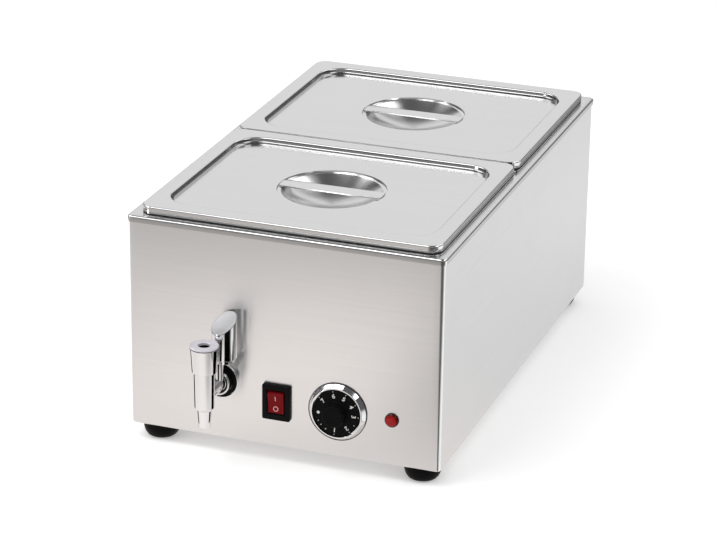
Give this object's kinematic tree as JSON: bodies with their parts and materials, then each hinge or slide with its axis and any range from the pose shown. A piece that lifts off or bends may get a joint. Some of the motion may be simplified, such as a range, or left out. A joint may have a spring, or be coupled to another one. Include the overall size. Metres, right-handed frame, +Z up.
{
  "type": "bain marie",
  "caption": "Counter-top wet bain marie: stainless casing over a water well, lidded food pans, front drain tap, rocker switch, thermostat dial and pilot lamp.",
  "frame": {"origin": "on the table, under the middle of the whole appliance, drain tap and cable gland included", "axes": "+Z up, front (tap, switch, dial, lamp) faces -Y, +X to the right seen from the front"},
  "size_m": [0.345, 0.6256, 0.2596],
  "materials": {
    "tank_steel": "satin stainless, rolled rim",
    "casing_steel": "fine brushed stainless",
    "plain_steel": "plain mill finish",
    "pan_steel": "deep drawn, semi-bright",
    "lid_steel": "pressed, satin",
    "polished_steel": "polished",
    "chrome_plate": "bright chrome plate",
    "zinc_screws": "zinc plated",
    "black_plastic": "satin moulded",
    "rocker_plastic": "dark red moulded",
    "lens_plastic": "clear red moulded",
    "case_plastic": "pale moulded",
    "ceramic_block": "unglazed ceramic",
    "foot_rubber": "matt black",
    "brass": "turned",
    "copper": "drawn copper",
    "heater_sheath": "heat-darkened"
  },
  "bodies": {
    "appliance": {"water_tank": "tank_steel", "outer_casing": "casing_steel", "back_panel": "casing_steel", "bottom_plate": "plain_steel", "back_screw_bottom_left": "zinc_screws", "back_screw_bottom_right": "zinc_screws", "back_screw_top_left": "zinc_screws", "back_screw_top_right": "zinc_screws", "foot_front_left": "foot_rubber", "foot_front_right": "foot_rubber", "foot_back_left": "foot_rubber", "foot_back_right": "foot_rubber", "foot_screw_front_left": "zinc_screws", "foot_screw_front_right": "zinc_screws", "foot_screw_back_left": "zinc_screws", "foot_screw_back_right": "zinc_screws", "pan_support_bar": "plain_steel", "bar_bracket_left": "plain_steel", "bar_bracket_right": "plain_steel", "switch_housing": "black_plastic", "dial_bezel": "chrome_plate", "thermostat_body": "case_plastic", "thermostat_bulb": "copper", "bulb_saddle": "plain_steel", "pilot_lamp_lens": "lens_plastic", "pilot_lamp_body": "black_plastic", "pilot_lamp_nut": "black_plastic", "tap_wall_ring": "chrome_plate", "tap_gasket": "foot_rubber", "tap_body": "chrome_plate", "tap_sleeve": "chrome_plate", "tap_cap": "chrome_plate", "tap_backnut": "brass", "drain_pipe": "plain_steel", "drain_clip": "zinc_screws", "drain_strainer": "polished_steel", "heating_element": "heater_sheath", "element_clamp_front": "plain_steel", "element_clamp_back": "plain_steel", "overheat_cutout": "black_plastic", "cable_gland": "black_plastic", "gland_locknut": "black_plastic", "terminal_block": "ceramic_block", "earth_stud": "brass"},
    "front_pan": {"pan_front": "pan_steel"},
    "front_lid": {"lid_front": "lid_steel", "lid_grip_front": "polished_steel"},
    "back_pan": {"pan_back": "pan_steel"},
    "back_lid": {"lid_back": "lid_steel", "lid_grip_back": "polished_steel"},
    "rocker": {"switch_rocker": "rocker_plastic"},
    "dial": {"dial_knob": "black_plastic", "thermostat_shaft": "plain_steel"},
    "handle": {"tap_handle": "chrome_plate", "tap_spindle": "plain_steel"}
  },
  "joints": [
    {"name": "front_pan_lift", "type": "slide", "parent": "appliance", "child": "front_pan", "axis": [0, 0, 1], "range_m": [0, 0.15]},
    {"name": "front_lid_lift", "type": "slide", "parent": "front_pan", "child": "front_lid", "axis": [0, 0, 1], "range_m": [0, 0.12]},
    {"name": "back_pan_lift", "type": "slide", "parent": "appliance", "child": "back_pan", "axis": [0, 0, 1], "range_m": [0, 0.15]},
    {"name": "back_lid_lift", "type": "slide", "parent": "back_pan", "child": "back_lid", "axis": [0, 0, 1], "range_m": [0, 0.12]},
    {"name": "rocker_tilt", "type": "hinge", "parent": "appliance", "child": "rocker", "pos_m": [-0.0067, -0.25135, 0.068], "axis": [-1, 0, 0], "range_deg": [0, 14]},
    {"name": "dial_turn", "type": "hinge", "parent": "appliance", "child": "dial", "pos_m": [0.06, -0.25255, 0.068], "axis": [0, 1, 0], "range_deg": [0, 315]},
    {"name": "tap_handle_turn", "type": "hinge", "parent": "appliance", "child": "handle", "pos_m": [-0.0589, -0.26755, 0.11], "axis": [0, 0, 1], "range_deg": [0, 90]}
  ]
}
